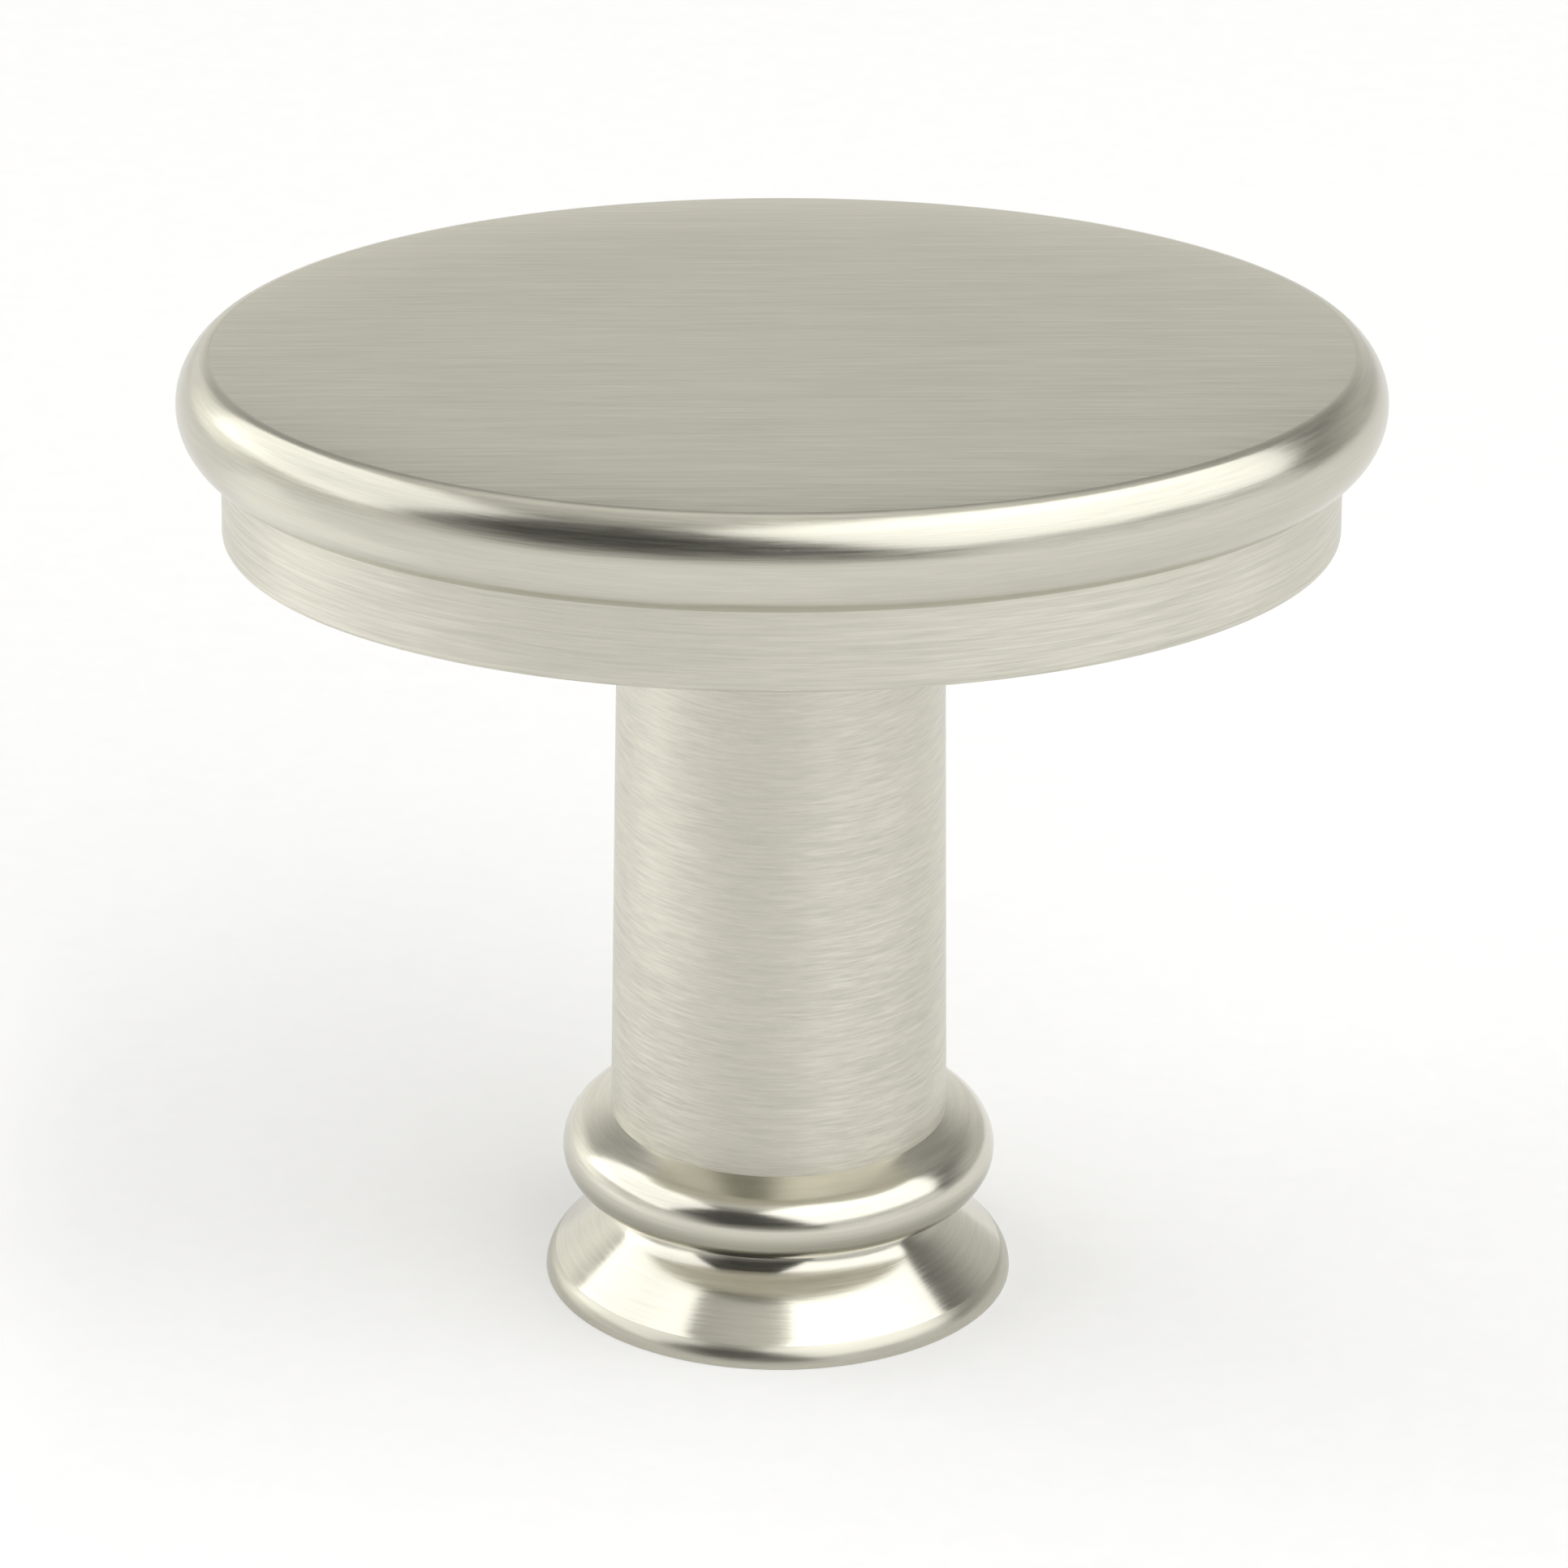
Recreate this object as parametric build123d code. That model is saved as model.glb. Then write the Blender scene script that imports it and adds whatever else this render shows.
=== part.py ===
from build123d import *
from math import radians, tan
import os

# Oval cabinet knob, die-cast in one piece and nickel plated.
# The foot's flat underside lies on z = 0 and the knob stands up along +Z; the head is longest along X.

overall_height = 33.7

# Oval head: a plate with a round bead on its edge, over a narrower band
head_length = 40.0
head_width = 28.0
head_depth = 6.6
bead_radius = 2.05
bead_drop = 1.72
top_edge_radius = 0.6
band_length = 37.06
band_width = 25.3
band_edge_chamfer = 0.35

# Stem: a round column with a slight draft, bevelled out where it meets the head's underside
stem_top_diameter = 10.87
stem_foot_diameter = 11.32
stem_root_bevel = 0.5

# Collar round the foot of the stem: its sloping top rounds over a shoulder into a full round underneath
collar_diameter = 14.56
collar_top_height = 6.11
collar_widest_height = 4.57
collar_shoulder_rise = 0.87
collar_lower_round = 1.16

# Neck under the collar, coved out into a flared foot with a rounded rim
neck_diameter = 10.6
neck_height = 0.78
flare_root_ease = 0.65
foot_diameter = 15.7
rim_round = 0.42

# Blind hole for the M4 fixing screw, drilled ready for the tap
tap_drill_diameter = 3.3
hole_depth = 12.0
drill_point_angle = 118.0
mouth_diameter = 4.4

# Heights that follow from the sizes above
bead_height = overall_height - bead_drop
underside_height = overall_height - head_depth

# The bead's round section runs along an oval that lies one bead radius inside the head's outline
bead_line = Edge.make_ellipse(head_length / 2 - bead_radius, head_width / 2 - bead_radius)
bead_line = bead_line.moved(Location((0, 0, bead_height)))
bead_section = Plane(bead_line @ 0, z_dir=bead_line % 0) * Circle(bead_radius)
bead = sweep(bead_section, path=bead_line)

# The band is an oval block that also fills the middle of the bead
band_outline = Pos(0, 0, underside_height) * Ellipse(band_length / 2, band_width / 2)
band = extrude(band_outline, head_depth + bead_radius)

# The top face is ground flat across the bead and its edge eased; the band's lower edge is broken
head = split(band + bead, Plane((0, 0, overall_height)), keep=Keep.BOTTOM)
head = fillet(head.faces().sort_by(Axis.Z)[-1].outer_wire().edges(), top_edge_radius)
head = chamfer(head.faces().sort_by(Axis.Z)[0].outer_wire().edges(), band_edge_chamfer)


def eased(before, corner, after, reach):
    """A corner between two straight runs, rounded from one reach before it to one reach after it."""
    corner = Vector(corner)
    start = corner + (Vector(before) - corner).normalized() * reach
    end = corner + (Vector(after) - corner).normalized() * reach
    return TangentArc(start, end, tangent=corner - start)


# Half section of stem, collar, neck and foot, rooted in the head and turned about Z
axis_top = (0, bead_height)
root_radius = stem_top_diameter / 2 + stem_root_bevel
root_top = (root_radius, bead_height)
root_edge = (root_radius, underside_height)
stem_top = (stem_top_diameter / 2, underside_height)
stem_foot = (stem_foot_diameter / 2, collar_top_height)
collar_radius = collar_diameter / 2
shoulder = (collar_radius, collar_widest_height + collar_shoulder_rise)
nose = (collar_radius, collar_widest_height)
collar_under = (collar_radius, collar_widest_height - collar_lower_round)
collar_foot = (neck_diameter / 2, collar_widest_height - collar_lower_round)
flare_top = (neck_diameter / 2, collar_widest_height - collar_lower_round - neck_height)
rim_corner = (foot_diameter / 2, rim_round)
rim_foot = (foot_diameter / 2, 0)

stem_start = Vector(stem_top) + (Vector(stem_foot) - Vector(stem_top)).normalized() * stem_root_bevel
upper_round = eased(stem_foot, shoulder, nose, collar_shoulder_rise)
lower_round = eased(nose, collar_under, collar_foot, collar_lower_round)
flare_root = eased(collar_foot, flare_top, rim_corner, flare_root_ease)
rim = eased(flare_top, rim_corner, rim_foot, rim_round)

half_outline = (
    Polyline((0, 0), axis_top, root_top, root_edge, stem_start, stem_foot, upper_round @ 0)
    + upper_round
    + lower_round
    + Polyline(lower_round @ 1, collar_foot, flare_root @ 0)
    + flare_root
    + Line(flare_root @ 1, rim @ 0)
    + rim
    + Line(rim_foot, (0, 0))
)
column = revolve(Plane.XZ * make_face(half_outline), axis=Axis.Z)

# Screw hole up the middle of the foot, with a chamfered mouth and a drill point at its end
bore_radius = tap_drill_diameter / 2
mouth_radius = mouth_diameter / 2
mouth_depth = mouth_radius - bore_radius
point_height = hole_depth + bore_radius / tan(radians(drill_point_angle / 2))
hole_outline = Polyline(
    (0, 0),
    (mouth_radius, 0),
    (bore_radius, mouth_depth),
    (bore_radius, hole_depth),
    (0, point_height),
    close=True,
)
hole = revolve(Plane.XZ * make_face(hole_outline), axis=Axis.Z)

knob = column + head - hole

os.makedirs("parts", exist_ok=True)
export_step(knob, "parts/knob.step")
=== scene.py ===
import bpy
from math import atan2, cos, degrees, pi, radians, sin, sqrt, tan
from mathutils import Matrix, Vector


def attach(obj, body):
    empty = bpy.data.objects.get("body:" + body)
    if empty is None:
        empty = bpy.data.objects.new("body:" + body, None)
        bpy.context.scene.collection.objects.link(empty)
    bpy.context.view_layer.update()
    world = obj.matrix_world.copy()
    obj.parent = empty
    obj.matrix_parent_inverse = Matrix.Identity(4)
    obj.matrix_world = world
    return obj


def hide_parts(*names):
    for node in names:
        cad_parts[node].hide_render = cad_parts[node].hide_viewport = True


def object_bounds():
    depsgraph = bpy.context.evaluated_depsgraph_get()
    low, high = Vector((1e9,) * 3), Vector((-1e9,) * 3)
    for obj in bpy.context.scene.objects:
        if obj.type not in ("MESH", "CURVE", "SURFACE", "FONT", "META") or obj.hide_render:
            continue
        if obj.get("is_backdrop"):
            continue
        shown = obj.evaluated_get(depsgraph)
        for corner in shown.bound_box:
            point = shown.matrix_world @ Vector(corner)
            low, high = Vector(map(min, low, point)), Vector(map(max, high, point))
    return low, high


# An oval cabinet knob, cast in one piece and nickel plated, standing on its foot.
# The casting's skin is one closed surface: a section of rings runs from the middle of the top face,
# round the bead, down the stem and the foot, and up the tapped hole to the drill point.

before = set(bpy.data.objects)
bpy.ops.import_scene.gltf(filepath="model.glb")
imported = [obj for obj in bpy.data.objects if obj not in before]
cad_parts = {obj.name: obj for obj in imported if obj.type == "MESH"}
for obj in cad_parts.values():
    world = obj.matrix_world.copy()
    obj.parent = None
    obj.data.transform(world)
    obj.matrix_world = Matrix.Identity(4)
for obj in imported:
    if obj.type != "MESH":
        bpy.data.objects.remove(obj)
cad_low, cad_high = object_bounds()

MM = 0.001

# Sizes of the casting, in millimetres
head_length = 40.0
head_width = 28.0
head_depth = 6.6
bead_radius = 2.05
bead_drop = 1.72
top_edge_radius = 0.6
band_length = 37.06
band_width = 25.3
band_edge = 0.35
stem_top_diameter = 10.87
stem_foot_diameter = 11.32
stem_root_bevel = 0.5
collar_diameter = 14.56
collar_top_height = 6.11
collar_widest_height = 4.57
collar_shoulder_rise = 0.87
collar_lower_round = 1.16
neck_diameter = 10.6
neck_height = 0.78
flare_root_ease = 0.65
foot_diameter = 15.7
rim_round = 0.42
tap_drill_diameter = 3.3
hole_depth = 12.0
drill_point_angle = 118.0
mouth_diameter = 4.4
thread_diameter = 4.0
thread_pitch = 0.7

# Fineness of the skin, and the angle in degrees where the bead's round ends just above the band
sides = 168
rows_per_pitch = 8
crease_angle = radians(24)
bead_low_end = -64

# The viewpoint, fitted to the knob's outlines in a square picture
picture_pixels = 1932
focal_pixels = 16758.3
sensor_mm = 36.0
camera_elevation = radians(25.352)
camera_distance = 454.33
camera_roll = radians(0.317)
camera_swing = radians(-1.264)
aim_across = 0.121
aim_height = 17.955

# Levels of light, where 1 is white
left_brightness = 1.42
right_brightness = 1.72
card_brightness = 0.6
room_dark = 0.06
room_low = 0.42
room_left = 0.54
room_behind = 0.94
room_overhead = 0.75
room_colour = (1.0, 0.99, 0.95, 1.0)
floor_lift = 0.21

# The painted pool of light on the floor, which glows brighter with no lamp there: where it starts and is
# full to the left, then its middle, core and reach from front to back, and how much brighter it is
painted_pool_start = -22 * MM
painted_pool_full = -42 * MM
painted_pool_middle = 2 * MM
painted_pool_core = 8 * MM
painted_pool_reach = 32 * MM
painted_pool_gain = 1.4

# The floor: its width in metres, its two greys and how fine their grain is, per metre.
# It lies a hair under the foot, so the two never share a plane.
floor_width = 3.0
floor_dark = (0.76, 0.76, 0.76, 1.0)
floor_light = (0.8, 0.8, 0.8, 1.0)
floor_grain = 900.0
floor_gap = 0.02 * MM

# Heights and lines that follow from the sizes
top_height = cad_high.z / MM
bead_height = top_height - bead_drop
underside_height = top_height - head_depth
bead_line = (head_length / 2 - bead_radius, head_width / 2 - bead_radius)
band_line = (band_length / 2, band_width / 2)
bore_radius = tap_drill_diameter / 2

# Brushing: shares of fine and coarse streaks, how often coarse ones change beside fine ones, and the
# range of the noise that they are drawn from
fine_share = 0.8
coarse_share = 0.2
coarse_rate = 0.22
brush_low = 0.35
brush_high = 0.65

# Cloudiness of the plate: how often it changes per metre, and its part in tone and roughness
cloud_rate = 140.0
cloud_in_tone = 0.4
brush_in_tone = 0.6
cloud_in_roughness = 0.05
micrometre = 1e-6

# The top face is worn between these two shares of its oval, squared
worn_start = 0.45
worn_full = 0.95

# Painted shade on the collar's lower half, in the recess above the neck: its middle height, its reach up
# and down, and its colour
painted_shade_height = 4.15 * MM
painted_shade_reach = 0.75 * MM
shade_olive = (0.2, 0.19, 0.14, 1.0)

FINISHES = ("top", "bead", "band", "underside", "stem", "collar", "foot", "rim", "base", "hole")


class Wire:
    """One output of a node. Arithmetic on it adds Math nodes to the same bench."""

    def __init__(self, bench, socket):
        self.bench = bench
        self.socket = socket

    def math(self, operation, first, second=0.0):
        return self.bench.node("ShaderNodeMath", {"operation": operation}, {0: first, 1: second})

    def __add__(self, other):
        return self.math("ADD", self, other)

    def __radd__(self, other):
        return self.math("ADD", other, self)

    def __sub__(self, other):
        return self.math("SUBTRACT", self, other)

    def __rsub__(self, other):
        return self.math("SUBTRACT", other, self)

    def __mul__(self, other):
        return self.math("MULTIPLY", self, other)

    def __rmul__(self, other):
        return self.math("MULTIPLY", other, self)

    def __truediv__(self, other):
        return self.math("DIVIDE", self, other)

    def __abs__(self):
        return self.math("ABSOLUTE", self)

    def __round__(self):
        return self.math("ROUND", self)

    def whole(self):
        return self.math("FLOOR", self)

    def fraction(self):
        return self.math("FRACT", self)

    def sine(self):
        return self.math("SINE", self)

    def cosine(self):
        return self.math("COSINE", self)


class Bench:
    """A node tree with one way to add a node and wire it up."""

    def __init__(self, tree):
        self.tree = tree

    def node(self, kind, settings=None, sockets=None, out=0):
        made = self.tree.nodes.new(kind)
        for name, value in (settings or {}).items():
            setattr(made, name, value)
        for key, value in (sockets or {}).items():
            plug = self.plug(made, key)
            if isinstance(value, Wire):
                self.tree.links.new(value.socket, plug)
            else:
                plug.default_value = value
        return Wire(self, made.outputs[out]) if made.outputs else None

    @staticmethod
    def plug(made, key):
        if isinstance(key, int):
            return made.inputs[key]
        return next(plug for plug in made.inputs if plug.name == key and plug.enabled)


# Curves of the section, as points in millimetres: (distance from the axis or line, height)


def arc(centre, radius, start, end, count):
    """Points on a round from one angle to another, both in degrees, the ends included."""
    turns = [radians(start + (end - start) * i / count) for i in range(count + 1)]
    return [(centre[0] + radius * cos(t), centre[1] + radius * sin(t)) for t in turns]


def eased(before, corner, after, reach, count):
    """A corner between two straight runs, rounded from one reach before it to one reach after it."""
    corner = Vector(corner)
    back = (Vector(before) - corner).normalized()
    onward = (Vector(after) - corner).normalized()
    half = back.angle(onward) / 2
    centre = corner + (back + onward).normalized() * (reach / cos(half))
    start = corner + back * reach - centre
    end = corner + onward * reach - centre
    first = degrees(atan2(start.y, start.x))
    turn = (degrees(atan2(end.y, end.x)) - first + 180) % 360 - 180
    return arc(centre, reach * tan(half), first, first + turn, count)


def collar_curve(stem_foot, collar_foot):
    """The collar: its sloping top rounds over a shoulder into a full round underneath."""
    reach = collar_diameter / 2
    shoulder = (reach, collar_widest_height + collar_shoulder_rise)
    nose = (reach, collar_widest_height)
    under = (reach, collar_foot[1])
    upper_round = eased(stem_foot, shoulder, nose, collar_shoulder_rise, 20)
    lower_round = eased(nose, under, collar_foot, collar_lower_round, 20)
    slope_end = Vector(upper_round[0])
    slope = [tuple(Vector(stem_foot).lerp(slope_end, share)) for share in (0.0, 0.05, 0.4, 0.8)]
    return slope + upper_round[:-1] + lower_round


def oval_ring(line, stand_off, height, finish):
    """A ring that stands a distance off an oval line."""
    return (line[0], line[1], stand_off, height, 0.0, FINISHES.index(finish))


def round_ring(radius, height, finish, groove=0.0):
    """A round ring about the axis; groove is the share of the thread's depth cut there."""
    return (radius, radius, 0.0, height, groove, FINISHES.index(finish))


def head_rings():
    """Top face, bead, band and underside, from the middle of the top face to the stem's root."""
    ease_out = sqrt((bead_radius - top_edge_radius) ** 2 - (bead_drop - top_edge_radius) ** 2)
    ease_up = bead_drop - top_edge_radius
    ease_end = degrees(atan2(ease_up, ease_out))
    rings = []
    for share in (0.0, 0.08, 0.25, 0.45, 0.65, 0.82, 0.95):
        line = (bead_line[0] * share, bead_line[1] * share)
        rings.append(oval_ring(line, ease_out * share, top_height, "top"))
    for out, up in arc((ease_out, ease_up), top_edge_radius, 90, ease_end, 8)[:-1]:
        rings.append(oval_ring(bead_line, out, bead_height + up, "bead"))
    for out, up in arc((0, 0), bead_radius, ease_end, bead_low_end, 44):
        rings.append(oval_ring(bead_line, out, bead_height + up, "bead"))
    meeting = bead_height - sqrt(bead_radius**2 - (band_line[1] - bead_line[1]) ** 2)
    for drop in (0.0, 0.12, 0.6, 1.4):
        rings.append(oval_ring(band_line, 0.0, meeting - drop, "band"))
    rings.append(oval_ring(band_line, 0.0, underside_height + band_edge + 0.3, "band"))
    for out, up in arc((-band_edge, band_edge), band_edge, 0, -90, 8)[:-1]:
        rings.append(oval_ring(band_line, out, underside_height + up, "band"))
    root = stem_top_diameter / 2 + stem_root_bevel
    edge = (band_line[0] - band_edge, band_line[1] - band_edge)
    for share in (0.0, 0.03, 0.25, 0.5, 0.75, 0.97):
        line = (edge[0] + (root - edge[0]) * share, edge[1] + (root - edge[1]) * share)
        rings.append(oval_ring(line, 0.0, underside_height, "underside"))
    return rings


def column_rings():
    """Stem, collar, neck, flared foot and flat underside, from the stem's root to the hole's mouth."""
    root_edge = (stem_top_diameter / 2 + stem_root_bevel, underside_height)
    stem_top = Vector((stem_top_diameter / 2, underside_height))
    stem_foot = Vector((stem_foot_diameter / 2, collar_top_height))
    stem_start = stem_top + (stem_foot - stem_top).normalized() * stem_root_bevel
    collar_foot = (neck_diameter / 2, collar_widest_height - collar_lower_round)
    flare_top = (neck_diameter / 2, collar_foot[1] - neck_height)
    rim_corner = (foot_diameter / 2, rim_round)
    rim_foot = (foot_diameter / 2, 0.0)
    rings = [round_ring(*root_edge, "stem")]
    for share in (0.0, 0.02, 0.2, 0.4, 0.6, 0.8, 0.96):
        rings.append(round_ring(*stem_start.lerp(stem_foot, share), "stem"))
    for radius, height in collar_curve(stem_foot, collar_foot):
        rings.append(round_ring(radius, height, "collar"))
    rings.append(round_ring(*collar_foot, "foot"))
    flare_root = eased(collar_foot, flare_top, rim_corner, flare_root_ease, 14)
    for radius, height in flare_root:
        rings.append(round_ring(radius, height, "foot"))
    rim = eased(flare_top, rim_corner, rim_foot, rim_round, 10)
    for share in (0.1, 0.5, 0.9):
        radius, height = Vector(flare_root[-1]).lerp(Vector(rim[0]), share)
        rings.append(round_ring(radius, height, "foot"))
    for radius, height in rim[:-1]:
        rings.append(round_ring(radius, height, "rim"))
    mouth = mouth_diameter / 2
    for share in (0.0, 0.02, 0.3, 0.6, 0.98):
        radius = rim_foot[0] + (mouth - rim_foot[0]) * share
        rings.append(round_ring(radius, 0.0, "base"))
    return rings


def hole_rings():
    """Chamfered mouth, threaded wall and drill point of the screw hole."""
    mouth = mouth_diameter / 2
    mouth_depth = mouth - bore_radius
    point_height = hole_depth + bore_radius / tan(radians(drill_point_angle / 2))
    rings = [round_ring(mouth, 0.0, "hole")]
    rows = round((hole_depth - mouth_depth) / thread_pitch * rows_per_pitch)
    for i in range(rows + 1):
        height = mouth_depth + (hole_depth - mouth_depth) * i / rows
        start = (height - mouth_depth) / thread_pitch
        runout = (hole_depth - height) / (2 * thread_pitch)
        rings.append(round_ring(bore_radius, height, "hole", min(1.0, start, runout)))
    rings.append(round_ring(bore_radius / 2, (hole_depth + point_height) / 2, "hole"))
    rings.append(round_ring(0.0, point_height, "hole"))
    return rings


def turning_tree():
    """The rule of the casting's skin: each ring of the section is carried round its oval or circle."""
    tree = bpy.data.node_groups.new("turn_section", "GeometryNodeTree")
    put_in = tree.interface.new_socket
    put_in("Geometry", in_out="OUTPUT", socket_type="NodeSocketGeometry")
    put_in("Section", in_out="INPUT", socket_type="NodeSocketGeometry")
    put_in("Sides", in_out="INPUT", socket_type="NodeSocketInt")
    put_in("Thread Pitch", in_out="INPUT", socket_type="NodeSocketFloat")
    put_in("Thread Depth", in_out="INPUT", socket_type="NodeSocketFloat")
    put_in("Crease Angle", in_out="INPUT", socket_type="NodeSocketFloat")
    for finish in FINISHES:
        put_in("Finish " + finish, in_out="INPUT", socket_type="NodeSocketMaterial")
    bench = Bench(tree)
    given = tree.nodes.new("NodeGroupInput")
    value = {plug.name: Wire(bench, plug) for plug in given.outputs if plug.name}
    section = value["Section"]
    count = bench.node("GeometryNodeAttributeDomainSize", {"component": "MESH"}, {0: section})

    grid = bench.node(
        "GeometryNodeMeshGrid",
        None,
        {"Size X": 1.0, "Size Y": 1.0, "Vertices X": count, "Vertices Y": value["Sides"] + 1},
    )
    place = bench.node("GeometryNodeInputPosition")
    along = bench.node("ShaderNodeSeparateXYZ", None, {0: place}, out="X") + 0.5
    around = bench.node("ShaderNodeSeparateXYZ", None, {0: place}, out="Y") + 0.5
    ring = along * (count - 1)
    angle = around * (2 * pi)

    def of_ring(name, index):
        stored = bench.node("GeometryNodeInputNamedAttribute", {"data_type": "FLOAT"}, {"Name": name})
        return bench.node(
            "GeometryNodeSampleIndex",
            {"data_type": "FLOAT", "domain": "POINT"},
            {"Geometry": section, "Value": stored, "Index": index},
        )

    nearest = round(ring)
    reach_x = of_ring("reach_x", nearest)
    reach_y = of_ring("reach_y", nearest)
    height = of_ring("height", nearest)
    turn = (height / value["Thread Pitch"] - around).fraction()
    ridge = 1 - abs(turn * 2 - 1)
    stand_off = of_ring("stand_off", nearest) + of_ring("groove", nearest) * ridge * value["Thread Depth"]
    outward = bench.node(
        "ShaderNodeCombineXYZ",
        None,
        {"X": reach_y * angle.cosine(), "Y": reach_x * angle.sine()},
    )
    outward = bench.node("ShaderNodeVectorMath", {"operation": "NORMALIZE"}, {0: outward})
    on_line = bench.node(
        "ShaderNodeCombineXYZ",
        None,
        {"X": reach_x * angle.cosine(), "Y": reach_y * angle.sine(), "Z": height},
    )
    spot = bench.node(
        "ShaderNodeVectorMath",
        {"operation": "MULTIPLY_ADD"},
        {0: outward, 1: bench.node("ShaderNodeCombineXYZ", None, {0: stand_off, 1: stand_off}), 2: on_line},
    )

    skin = bench.node(
        "GeometryNodeStoreNamedAttribute",
        {"data_type": "FLOAT", "domain": "FACE"},
        {"Geometry": grid, "Name": "finish", "Value": of_ring("finish", ring.whole())},
    )
    skin = bench.node("GeometryNodeSetPosition", None, {"Geometry": skin, "Position": spot})
    skin = bench.node("GeometryNodeMergeByDistance", None, {"Geometry": skin, "Distance": 1e-6})
    fold = bench.node("GeometryNodeInputMeshEdgeAngle")
    soft = bench.node(
        "FunctionNodeCompare",
        {"data_type": "FLOAT", "operation": "LESS_THAN"},
        {"A": fold, "B": value["Crease Angle"]},
    )
    skin = bench.node(
        "GeometryNodeSetShadeSmooth",
        {"domain": "FACE"},
        {"Geometry": skin, "Shade Smooth": True},
    )
    skin = bench.node(
        "GeometryNodeSetShadeSmooth",
        {"domain": "EDGE"},
        {"Geometry": skin, "Shade Smooth": soft},
    )
    skin = bench.node("GeometryNodeRealizeInstances", None, {"Geometry": skin})
    stored = bench.node("GeometryNodeInputNamedAttribute", {"data_type": "FLOAT"}, {"Name": "finish"})
    for index, finish in enumerate(FINISHES):
        chosen = bench.node(
            "FunctionNodeCompare",
            {"data_type": "FLOAT", "operation": "EQUAL"},
            {"A": stored, "B": float(index), "Epsilon": 0.1},
        )
        skin = bench.node(
            "GeometryNodeSetMaterial",
            None,
            {"Geometry": skin, "Selection": chosen, "Material": value["Finish " + finish]},
        )
    result = tree.nodes.new("NodeGroupOutput")
    tree.links.new(skin.socket, result.inputs[0])
    return tree


def section_mesh(rings):
    """The section as a row of points that carry each ring's sizes, in metres."""
    mesh = bpy.data.meshes.new("knob_section")
    mesh.from_pydata([(ring[0] * MM, 0.0, ring[3] * MM) for ring in rings], [], [])
    scales = {"reach_x": MM, "reach_y": MM, "stand_off": MM, "height": MM, "groove": 1.0, "finish": 1.0}
    for column, (name, scale) in enumerate(scales.items()):
        stored = mesh.attributes.new(name, "FLOAT", "POINT")
        stored.data.foreach_set("value", [ring[column] * scale for ring in rings])
    return mesh


def plain_mesh(piece):
    """Turns a piece's modifiers into a plain mesh without its empty first slot, and takes them off."""
    graph = bpy.context.evaluated_depsgraph_get()
    mesh = bpy.data.meshes.new_from_object(piece.evaluated_get(graph), depsgraph=graph)
    piece.modifiers.clear()
    piece.data = mesh
    mesh.materials.pop(index=0)


def cast_knob(finishes):
    """The whole knob as one closed skin with a finish for each of its surfaces."""
    knob = bpy.data.objects.new("nickel_knob", section_mesh(head_rings() + column_rings() + hole_rings()))
    bpy.context.scene.collection.objects.link(knob)
    turning = knob.modifiers.new("turn_section", "NODES")
    tree = turning_tree()
    turning.node_group = tree
    sizes = {
        "Sides": sides,
        "Thread Pitch": thread_pitch * MM,
        "Thread Depth": (thread_diameter - tap_drill_diameter) / 2 * MM,
        "Crease Angle": crease_angle,
    }
    for finish in FINISHES:
        sizes["Finish " + finish] = finishes[finish]
    for item in tree.interface.items_tree:
        if item.name in sizes:
            turning[item.identifier] = sizes[item.name]
    plain_mesh(knob)
    return knob


def worn_edge(bench, at):
    """How far the top face is worn down towards its oval edge, from 0 in the middle to 1 at the edge."""
    across = bench.node("ShaderNodeSeparateXYZ", None, {0: at}, out="X") / (head_length / 2 * MM)
    along = bench.node("ShaderNodeSeparateXYZ", None, {0: at}, out="Y") / (head_width / 2 * MM)
    reach = across * across + along * along
    ends = {"Value": reach, "From Min": worn_start, "From Max": worn_full}
    outer = bench.node("ShaderNodeMapRange", None, ends)
    return outer * outer


def painted_collar_shade(bench, at):
    """Where painted shade darkens the collar's lower half, from 0 above and below to 1 in the middle."""
    height = bench.node("ShaderNodeSeparateXYZ", None, {0: at}, out="Z")
    off_middle = abs(height - painted_shade_height) / painted_shade_reach
    return bench.node("ShaderNodeMapRange", {"interpolation_type": "SMOOTHSTEP"}, {"Value": 1 - off_middle})


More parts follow.
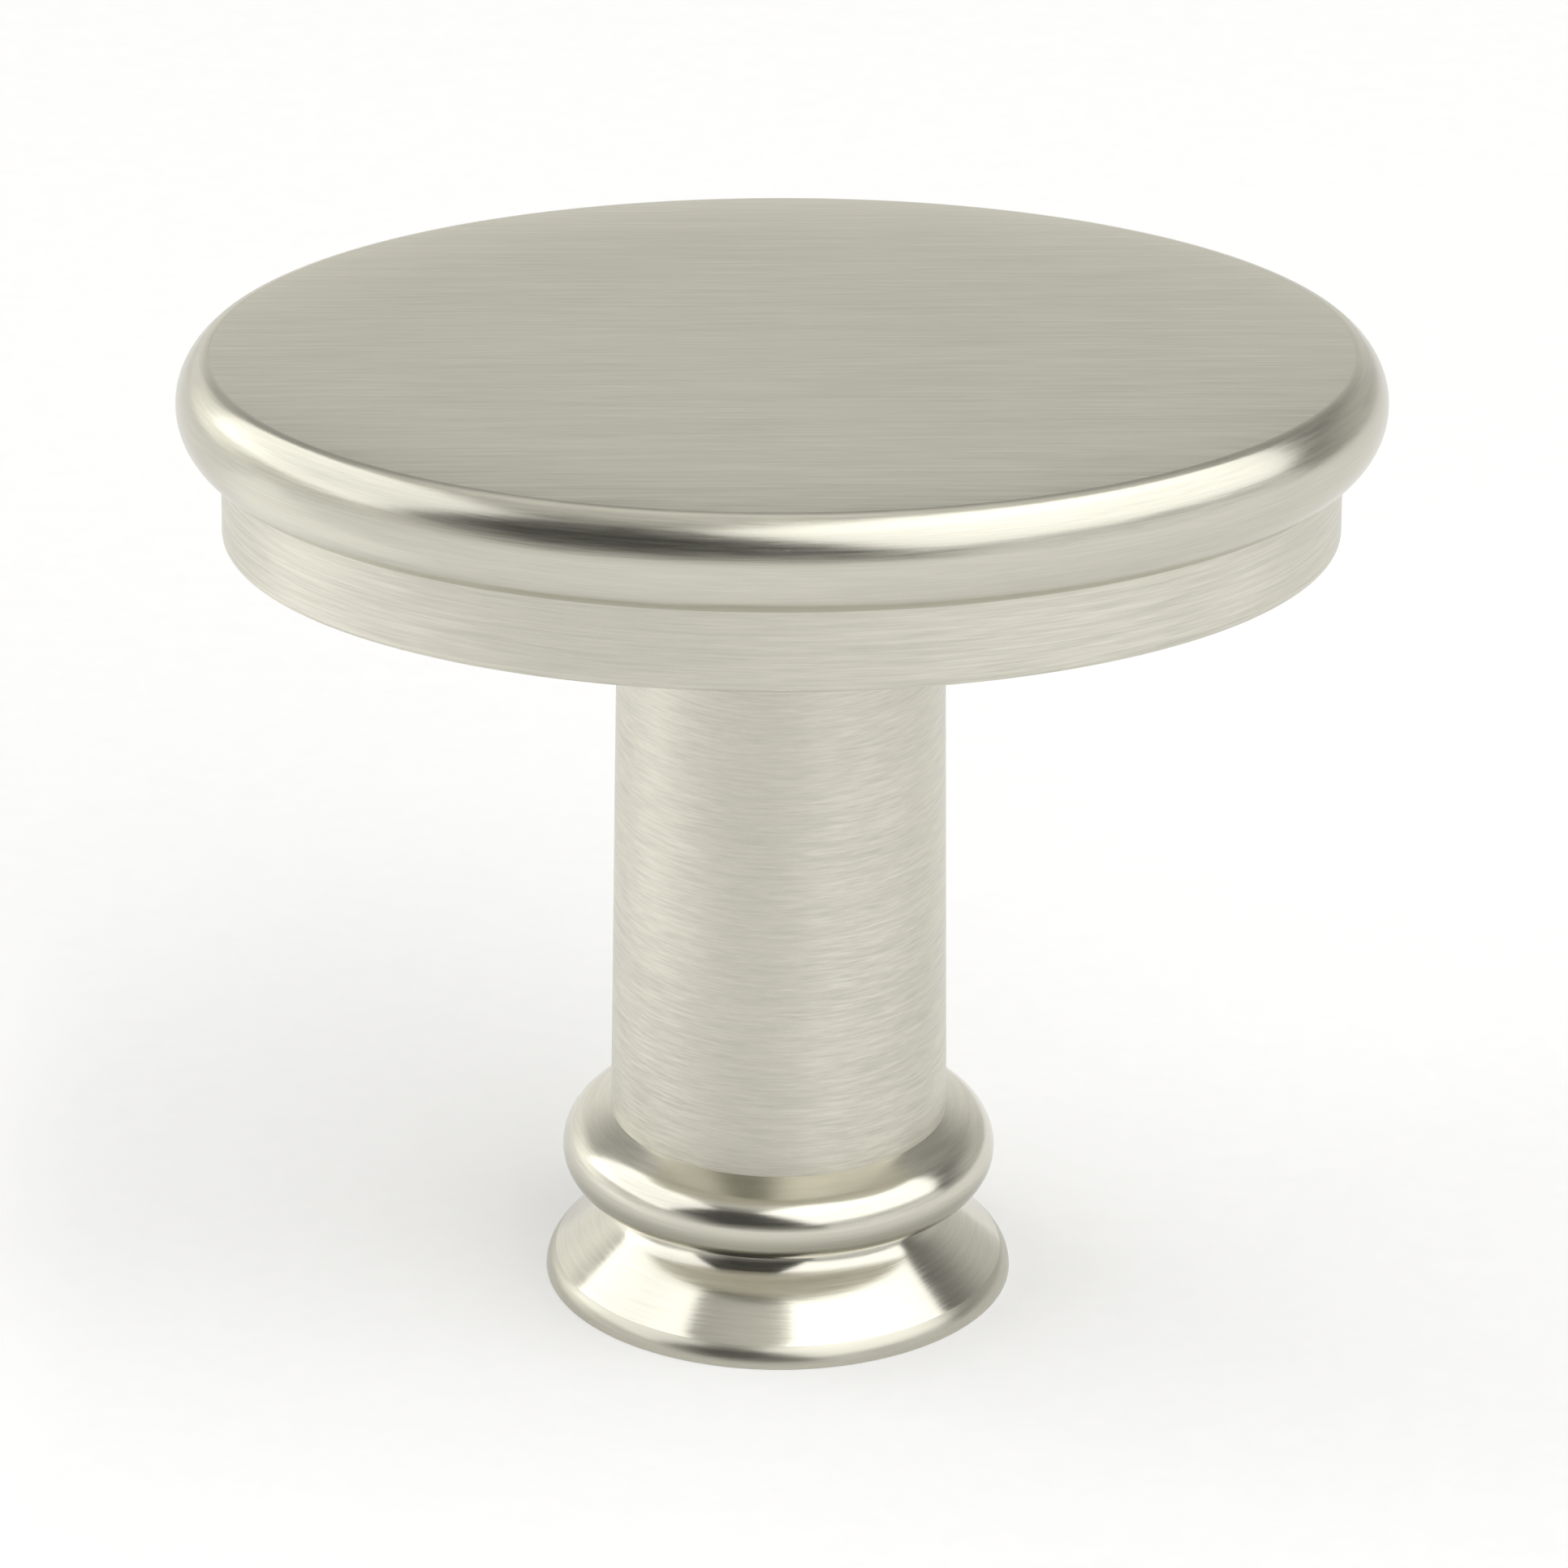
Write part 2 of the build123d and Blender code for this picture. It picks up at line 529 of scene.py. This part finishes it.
def nickel(
    name, tone, roughness, streaks, cut, spread, lengthwise=0.0, mottle=0.04, worn=0.0, painted_shade=0.0
):
    """Nickel plate with brush streaks.

    streaks: how often the streaks change along X, Y and Z, per metre.
    cut: how deep the streaks are, in micrometres. spread: how far they vary the roughness.
    lengthwise: how far the sheen is drawn out across the brushing. mottle: tone change of the plate.
    worn: how far polishing has rounded the top face off at its edge, in micrometres.
    dull: how far painted shade darkens the collar's lower half towards olive, in the recess above the neck.
    """
    material = bpy.data.materials.new(name)
    material.use_nodes = True
    tree = material.node_tree
    tree.nodes.clear()
    bench = Bench(tree)
    at = bench.node("ShaderNodeTexCoord", out="Object")
    stretched = bench.node("ShaderNodeMapping", None, {"Vector": at, "Scale": streaks})
    fine = bench.node(
        "ShaderNodeTexNoise",
        None,
        {"Vector": stretched, "Scale": 1.0, "Detail": 3.0, "Roughness": 0.65},
    )
    coarse_streaks = tuple(coarse_rate * rate for rate in streaks)
    wide = bench.node("ShaderNodeMapping", None, {"Vector": at, "Scale": coarse_streaks})
    coarse = bench.node(
        "ShaderNodeTexNoise",
        None,
        {"Vector": wide, "Scale": 1.0, "Detail": 2.0, "Roughness": 0.5},
    )
    cloud = bench.node(
        "ShaderNodeTexNoise",
        None,
        {"Vector": at, "Scale": cloud_rate, "Detail": 3.0, "Roughness": 0.55},
    )
    mixed = fine * fine_share + coarse * coarse_share
    brush = bench.node(
        "ShaderNodeMapRange",
        None,
        {"Value": mixed, "From Min": brush_low, "From Max": brush_high},
    )
    dark = tuple(c * (1 - mottle) for c in tone) + (1.0,)
    light = tuple(c * (1 + mottle) for c in tone) + (1.0,)
    colour = bench.node(
        "ShaderNodeMix",
        {"data_type": "RGBA"},
        {"Factor": brush * brush_in_tone + cloud * cloud_in_tone, 6: dark, 7: light},
        out=2,
    )
    # Painted shade: the collar's lower half is darkened towards olive, where the recess above the neck lies
    # in shade
    if painted_shade:
        colour = bench.node(
            "ShaderNodeMix",
            {"data_type": "RGBA"},
            {"Factor": painted_collar_shade(bench, at) * painted_shade, 6: colour, 7: shade_olive},
            out=2,
        )
    rough = (brush - 0.5) * spread + (cloud - 0.5) * cloud_in_roughness + roughness
    relief = brush * cut
    if worn:
        relief = relief - worn_edge(bench, at) * worn
    grooves = bench.node(
        "ShaderNodeBump",
        None,
        {"Strength": 1.0, "Distance": micrometre, "Height": relief},
    )
    finish = bench.node(
        "ShaderNodeBsdfPrincipled",
        None,
        {
            "Base Color": colour,
            "Metallic": 1.0,
            "Roughness": rough,
            "Anisotropic": lengthwise,
            "Anisotropic Rotation": 0.25,
            "Normal": grooves,
        },
    )
    bench.node("ShaderNodeOutputMaterial", None, {"Surface": finish})
    return material


def plain_floor():
    """A wide pale floor under the knob, with a painted pool of light out to its left that glows brighter
    than the rest.
    """
    material = bpy.data.materials.new("pale_floor")
    material.use_nodes = True
    tree = material.node_tree
    tree.nodes.clear()
    bench = Bench(tree)
    at = bench.node("ShaderNodeTexCoord", out="Object")
    grain = bench.node("ShaderNodeTexNoise", None, {"Vector": at, "Scale": floor_grain, "Detail": 2.0})
    colour = bench.node(
        "ShaderNodeMix",
        {"data_type": "RGBA"},
        {"Factor": grain, 6: floor_dark, 7: floor_light},
        out=2,
    )
    matt = bench.node("ShaderNodeBsdfDiffuse", None, {"Color": colour})
    seen = bench.node("ShaderNodeLightPath", out="Is Camera Ray")
    seen = seen.math("MAXIMUM", seen, bench.node("ShaderNodeLightPath", out="Is Glossy Ray"))
    seen = seen.math("MAXIMUM", seen, bench.node("ShaderNodeLightPath", out="Is Transmission Ray"))
    across = bench.node("ShaderNodeSeparateXYZ", None, {0: at}, out="X")
    along = bench.node("ShaderNodeSeparateXYZ", None, {0: at}, out="Y")

    def fade(value, none, full):
        ends = {"Value": value, "From Min": none, "From Max": full}
        return bench.node("ShaderNodeMapRange", {"interpolation_type": "SMOOTHSTEP"}, ends)

    # Painted pool of light: out to the left the floor glows brighter, though no lamp is there
    painted_pool = fade(across, painted_pool_start, painted_pool_full) * fade(abs(along - painted_pool_middle), painted_pool_reach, painted_pool_core)
    painted_pool = painted_pool * painted_pool_gain + 1.0
    glow = bench.node("ShaderNodeCombineColor", None, {0: painted_pool, 1: painted_pool, 2: painted_pool})
    lift = bench.node("ShaderNodeEmission", None, {"Color": glow, "Strength": seen * floor_lift})
    pale = bench.node("ShaderNodeAddShader", None, {0: matt, 1: lift})
    bench.node("ShaderNodeOutputMaterial", None, {"Surface": pale})
    half = floor_width / 2
    corners = [(-half, -half, 0), (half, -half, 0), (half, half, 0), (-half, half, 0)]
    mesh = bpy.data.meshes.new("floor")
    mesh.from_pydata(corners, [], [(0, 1, 2, 3)])
    mesh.materials.append(material)
    floor = bpy.data.objects.new("floor", mesh)
    bpy.context.scene.collection.objects.link(floor)
    floor.location.z = -floor_gap
    floor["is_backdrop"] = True


def softbox(name, brightness, bearing, elevation, distance, width, height):
    """A softbox that faces the knob; the bearing turns right from the camera's side, angles in degrees."""
    lamp = bpy.data.lights.new(name, "AREA")
    lamp.shape = "RECTANGLE"
    lamp.size = width
    lamp.size_y = height
    lamp.energy = brightness * pi * width * height
    box = bpy.data.objects.new(name, lamp)
    b, e = radians(bearing), radians(elevation)
    way = Vector((sin(b) * cos(e), -cos(b) * cos(e), sin(e)))
    middle = Vector((0, 0, top_height / 2 * MM))
    box.location = middle + way * distance
    box.rotation_euler = way.to_track_quat("Z", "Y").to_euler()
    bpy.context.scene.collection.objects.link(box)
    return box


def dim_room():
    """The room beyond the softboxes: dark on the camera's side, pale low down and behind, grey overhead."""
    world = bpy.data.worlds.new("studio")
    bpy.context.scene.world = world
    world.use_nodes = True
    tree = world.node_tree
    tree.nodes.clear()
    bench = Bench(tree)
    way = bench.node("ShaderNodeTexCoord", out="Generated")

    def rise(axis, low, high, level):
        """Light that grows to its level as one part of the direction goes from low to high."""
        reach = bench.node("ShaderNodeSeparateXYZ", None, {0: way}, out=axis)
        ends = {"Value": reach, "From Min": low, "From Max": high, "To Min": 0.0, "To Max": level}
        return bench.node("ShaderNodeMapRange", {"interpolation_type": "SMOOTHSTEP"}, ends)

    behind = rise("Y", -0.05, 0.6, room_behind)
    behind = behind * (rise("Z", 0.6, 0.25, 0.6) + 0.4)
    behind = behind * (rise("X", 0.75, 0.0, 0.4) + 0.6)
    overhead = rise("Z", 0.7, 1.0, room_overhead)
    low_down = rise("Z", 0.28, 0.0, room_low) * rise("Y", 0.5, -0.1, 1.0)
    low_left = rise("Z", 0.5, 0.2, room_left) * rise("X", -0.5, -0.9, 1.0)
    level = room_dark + behind + overhead + low_down + low_left
    air = bench.node("ShaderNodeBackground", None, {"Color": room_colour, "Strength": level})
    bench.node("ShaderNodeOutputWorld", None, {"Surface": air})


def place_camera():
    """The camera stands in front of the knob, above it and a little to one side."""
    data = bpy.data.cameras.new("camera")
    data.sensor_width = sensor_mm
    data.lens = focal_pixels / picture_pixels * sensor_mm
    data.clip_start = 0.01
    data.clip_end = 20.0
    back = Vector((0, -cos(camera_elevation), sin(camera_elevation)))
    right = Vector((1, 0, 0))
    up = back.cross(right)
    across = right * cos(camera_roll) + up * sin(camera_roll)
    upward = up * cos(camera_roll) - right * sin(camera_roll)
    stand = Vector((aim_across, 0, aim_height)) * MM + back * camera_distance * MM
    view = Matrix((across, upward, back)).transposed().to_4x4()
    view.translation = stand
    camera = bpy.data.objects.new("camera", data)
    bpy.context.scene.collection.objects.link(camera)
    camera.matrix_world = Matrix.Rotation(camera_swing, 4, "Z") @ view
    bpy.context.scene.camera = camera


# Tones of the plate, from the bead to the brushed sides; the rim's darker tone is painted shade
bright = (0.565, 0.55, 0.475)
polished = (0.64, 0.622, 0.541)
# shaded is painted shade: a darker tone for the rim, low down where the foot's edge meets the floor in
# shade
rim_painted_shade = (0.53, 0.514, 0.44)
ground = (0.638, 0.622, 0.543)
brushed = (0.646, 0.628, 0.55)

# Streaks per metre along X, Y and Z: lengthwise on the top, round the sides, none in particular as cast
along_top = (240, 9000, 4000)
round_bead = (420, 420, 12000)
round_band = (350, 350, 11000)
round_stem = (800, 800, 11000)
round_hole = (900, 900, 9000)
as_cast = (900, 900, 900)
as_faced = (1500, 1500, 1500)

side_brush = {"cut": 2.0, "spread": 0.1, "lengthwise": 0.75, "mottle": 0.22}
top_brush = {"cut": 1.5, "spread": 0.08, "mottle": 0.16, "worn": 130.0}
bead_satin = {"cut": 0.8, "spread": 0.06, "lengthwise": 0.2, "mottle": 0.1}
# dull darkens the collar's lower half as painted shade
collar_satin_and_painted_shade = {"cut": 0.6, "spread": 0.05, "lengthwise": 0.3, "mottle": 0.1, "painted_shade": 0.6}
foot_polish = {"cut": 0.5, "spread": 0.05, "lengthwise": 0.5, "mottle": 0.08}
rim_satin = {"cut": 0.5, "spread": 0.05, "lengthwise": 0.3, "mottle": 0.08}

finishes = {
    "top": nickel("top_brushed_lengthwise", ground, 0.33, along_top, **top_brush),
    "bead": nickel("bead_satin", bright, 0.24, round_bead, **bead_satin),
    "band": nickel("band_brushed_round", brushed, 0.38, round_band, **side_brush),
    "underside": nickel("underside_as_cast", ground, 0.42, as_cast, cut=2.0, spread=0.1),
    "stem": nickel("stem_brushed_round", brushed, 0.38, round_stem, **side_brush),
    "collar": nickel("collar_satin_and_painted_shade", polished, 0.2, round_bead, **collar_satin_and_painted_shade),
    "foot": nickel("foot_bright", polished, 0.16, round_bead, **foot_polish),
    # The rim's darker tone is painted shade near the floor; its roughness is the satin finish
    "rim": nickel("rim_satin", rim_painted_shade, 0.3, round_bead, **rim_satin),
    "base": nickel("base_faced", ground, 0.36, as_faced, cut=1.0, spread=0.1),
    "hole": nickel("hole_tapped", bright, 0.34, round_hole, cut=1.0, spread=0.1),
}

knob = cast_knob(finishes)
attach(knob, "root")
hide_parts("knob")

plain_floor()
softbox("softbox_left", left_brightness, bearing=-92, elevation=38, distance=0.7, width=0.85, height=0.57)
softbox("softbox_right", right_brightness, bearing=54, elevation=46, distance=0.7, width=1.1, height=0.75)
softbox("card_right", card_brightness, bearing=58, elevation=8, distance=0.8, width=1.1, height=0.2)
dim_room()
place_camera()

scene = bpy.context.scene
scene.view_settings.view_transform = "Standard"

low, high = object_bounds()
boxes = {"cad": [list(cad_low), list(cad_high)], "visual": [list(low), list(high)]}
